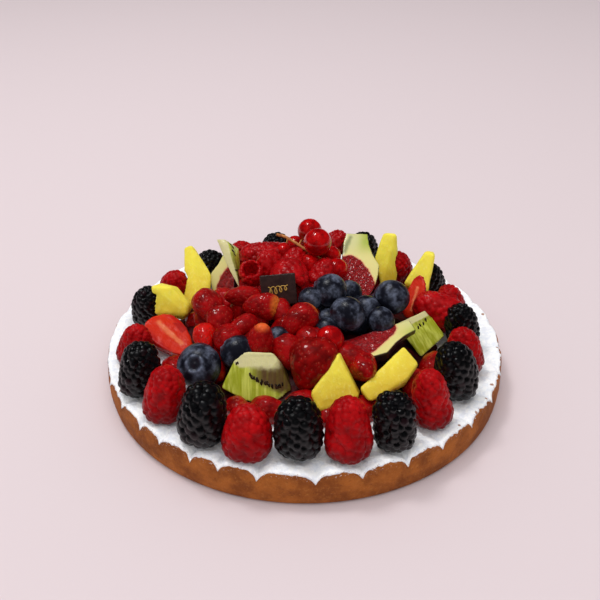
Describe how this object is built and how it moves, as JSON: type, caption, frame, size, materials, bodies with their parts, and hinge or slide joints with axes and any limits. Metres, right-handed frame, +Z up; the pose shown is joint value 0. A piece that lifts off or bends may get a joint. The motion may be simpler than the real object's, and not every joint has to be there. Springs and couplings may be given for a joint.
{
  "type": "fruit tart",
  "caption": "Round fruit tart: a low shortcrust case with a wavy rim, a domed filling, an outer ring of berries and a heap of whole and cut fruit.",
  "frame": {"origin": "middle of the tart's flat underside, on the surface it rests on", "axes": "+Z up, -Y towards the front of the tart, +X to the right seen from the front"},
  "size_m": [0.2, 0.2, 0.0589],
  "materials": {
    "crust": "baked shortcrust, matt and slightly rough",
    "filling": "soft baked cream, satin",
    "raspberry": "soft, slightly downy",
    "bramble": "near black, glossy",
    "blueberry": "dark blue with a dull bloom",
    "currant": "clear red, very glossy",
    "strawberry": "red, glazed",
    "mango": "cut flesh, moist",
    "kiwi": "cut flesh, moist",
    "fig": "cut flesh and skin, moist",
    "chocolate": "dark chocolate, satin"
  },
  "bodies": {
    "root": {"blueberry_behind_kiwi": "blueberry", "blueberry_front_left": "blueberry", "blueberry_middle": "blueberry", "blueberry_middle_back": "blueberry", "blueberry_middle_front": "blueberry", "blueberry_right": "blueberry", "blueberry_right_front": "blueberry", "bramble_outer_00": "bramble", "bramble_outer_02": "bramble", "bramble_outer_04": "bramble", "bramble_outer_06": "bramble", "bramble_outer_08": "bramble", "bramble_outer_10": "bramble", "bramble_outer_12": "bramble", "bramble_outer_14": "bramble", "bramble_outer_16": "bramble", "bramble_outer_18": "bramble", "bramble_outer_20": "bramble", "chocolate_tag": "chocolate", "crust": "crust", "currant_single": "currant", "currant_sprig": "currant", "fig_back_right": "fig", "fig_front": "fig", "fig_left": "fig", "filling": "filling", "kiwi_back": "kiwi", "kiwi_front": "kiwi", "kiwi_right": "kiwi", "mango_back_right": "mango", "mango_front": "mango", "mango_front_right": "mango", "mango_left_low": "mango", "mango_left_tall": "mango", "mango_right": "mango", "raspberry_back": "raspberry", "raspberry_left": "raspberry", "raspberry_open": "raspberry", "raspberry_outer_01": "raspberry", "raspberry_outer_03": "raspberry", "raspberry_outer_05": "raspberry", "raspberry_outer_07": "raspberry", "raspberry_outer_09": "raspberry", "raspberry_outer_11": "raspberry", "raspberry_outer_13": "raspberry", "raspberry_outer_15": "raspberry", "raspberry_outer_17": "raspberry", "raspberry_outer_19": "raspberry", "raspberry_outer_21": "raspberry", "raspberry_right": "raspberry", "strawberry_front": "strawberry", "strawberry_front_right": "strawberry", "strawberry_half_left": "strawberry", "strawberry_half_right": "strawberry", "wild_strawberry_bright": "strawberry", "wild_strawberry_centre": "strawberry", "wild_strawberry_left": "strawberry", "wild_strawberry_middle": "strawberry", "wild_strawberry_middle_left": "strawberry", "wild_strawberry_orange_tip": "strawberry"}
  },
  "joints": []
}
